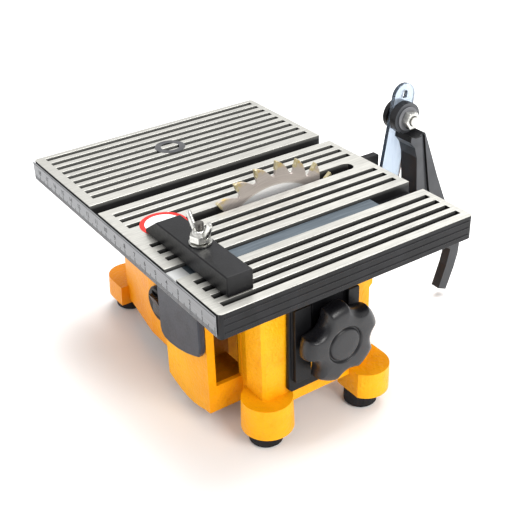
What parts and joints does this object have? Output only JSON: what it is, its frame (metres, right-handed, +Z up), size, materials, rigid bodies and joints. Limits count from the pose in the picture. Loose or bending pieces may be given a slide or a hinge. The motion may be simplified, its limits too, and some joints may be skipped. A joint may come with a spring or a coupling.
{
  "type": "miniature bench table saw",
  "caption": "Small bench-top circular table saw with a slotted metal table, sliding mitre gauge, star lock knob, swing-over clear blade guard and a cast base on rubber feet.",
  "frame": {"origin": "centre of the bounding box in plan, on the bench under the rubber feet", "axes": "+X to the operator's right, +Y away from the operator, +Z up; the blade lies in a plane of constant X"},
  "size_m": [0.1908, 0.21, 0.1379],
  "materials": {
    "amber_paint": "amber-orange gloss paint over a sand-cast texture",
    "rubber": "matt moulded rubber",
    "motor_can": "plain zinc-plated steel",
    "bearing_steel": "ground bearing steel",
    "black_plastic": "satin black moulding",
    "belt_rubber": "matt rubber",
    "zinc": "bright zinc plate",
    "grey_disc": "satin grey moulding",
    "ground_aluminium": "ground aluminium lands, black-painted grooves and edges",
    "ruler_grey": "grey anodised strip with dark graduations",
    "slate_plastic": "slate-grey satin moulding",
    "blade_steel": "ground steel with brass-coloured brazed tips",
    "blue_steel": "blue-grey ground flat bar",
    "fence_black": "black oxide",
    "rocker_black": "gloss black",
    "clear_plastic": "clear polycarbonate"
  },
  "bodies": {
    "base": {"base_casting": "amber_paint", "foot_fr": "rubber", "foot_br": "rubber", "foot_fl": "rubber", "foot_bl": "rubber", "bottom_plate": "motor_can", "bearing_post_outer": "motor_can", "bearing_post_inner": "motor_can", "bearing_outer": "bearing_steel", "bearing_inner": "bearing_steel", "motor_can": "motor_can", "motor_end_bell": "black_plastic", "motor_bracket": "motor_can", "drive_belt": "belt_rubber", "switch_body": "black_plastic", "cord_gland": "black_plastic", "guide_frame": "black_plastic", "clamp_nut": "zinc", "guard_bracket": "black_plastic", "guard_arm": "black_plastic", "pivot_screw": "zinc", "pivot_nut": "zinc", "pivot_disc_left": "black_plastic", "pivot_disc_right": "grey_disc"},
    "table": {"table_top": "ground_aluminium", "ruler_strip": "ruler_grey", "front_apron": "slate_plastic", "lift_tongue": "black_plastic"},
    "arbor": {"arbor_shaft": "bearing_steel", "arbor_pulley": "motor_can", "flange_inner": "motor_can", "flange_outer": "motor_can", "arbor_nut": "zinc", "saw_blade": "blade_steel"},
    "motor_rotor": {"motor_shaft": "bearing_steel", "motor_pulley": "motor_can"},
    "knob": {"lock_knob": "black_plastic", "knob_stud": "zinc", "knob_washer": "zinc"},
    "mitre_slider": {"mitre_bar": "blue_steel", "mitre_stud": "zinc"},
    "mitre_head": {"mitre_fence": "fence_black", "mitre_washer": "zinc"},
    "wing": {"wing_nut": "zinc"},
    "rocker": {"switch_rocker": "rocker_black"},
    "guard": {"guard_strip": "clear_plastic"}
  },
  "joints": [
    {"name": "table_height", "type": "slide", "parent": "base", "child": "table", "axis": [0, 0, 1], "range_m": [-0.008, 0.012]},
    {"name": "blade_spin", "type": "hinge", "parent": "base", "child": "arbor", "pos_m": [0.0165, -0.0221, 0.0686], "axis": [1, 0, 0], "continuous": true},
    {"name": "motor_spin", "type": "hinge", "parent": "base", "child": "motor_rotor", "pos_m": [-0.007, -0.0467, 0.0342], "axis": [1, 0, 0], "continuous": true},
    {"name": "lock_knob_turn", "type": "hinge", "parent": "base", "child": "knob", "pos_m": [0.082, -0.0344, 0.0559], "axis": [1, 0, 0], "range_deg": [-360, 360]},
    {"name": "mitre_slide", "type": "slide", "parent": "table", "child": "mitre_slider", "axis": [0, 1, 0], "range_m": [0, 0.02]},
    {"name": "mitre_angle", "type": "hinge", "parent": "mitre_slider", "child": "mitre_head", "pos_m": [0.05515, -0.0876, 0.1025], "axis": [0, 0, 1], "range_deg": [-45, 45]},
    {"name": "wing_nut_turn", "type": "hinge", "parent": "mitre_slider", "child": "wing", "pos_m": [0.05515, -0.0876, 0.1138], "axis": [0, 0, 1], "range_deg": [-360, 360]},
    {"name": "switch_rock", "type": "hinge", "parent": "base", "child": "rocker", "pos_m": [-0.0125, -0.0772, 0.0402], "axis": [1, 0, 0], "range_deg": [-16, 0]},
    {"name": "guard_pivot", "type": "hinge", "parent": "base", "child": "guard", "pos_m": [0.0125, 0.0661, 0.12], "axis": [1, 0, 0], "range_deg": [0, 255]}
  ],
  "couplings": [
    {"joint": "motor_spin", "follows": "blade_spin", "ratio": 1.3676}
  ]
}
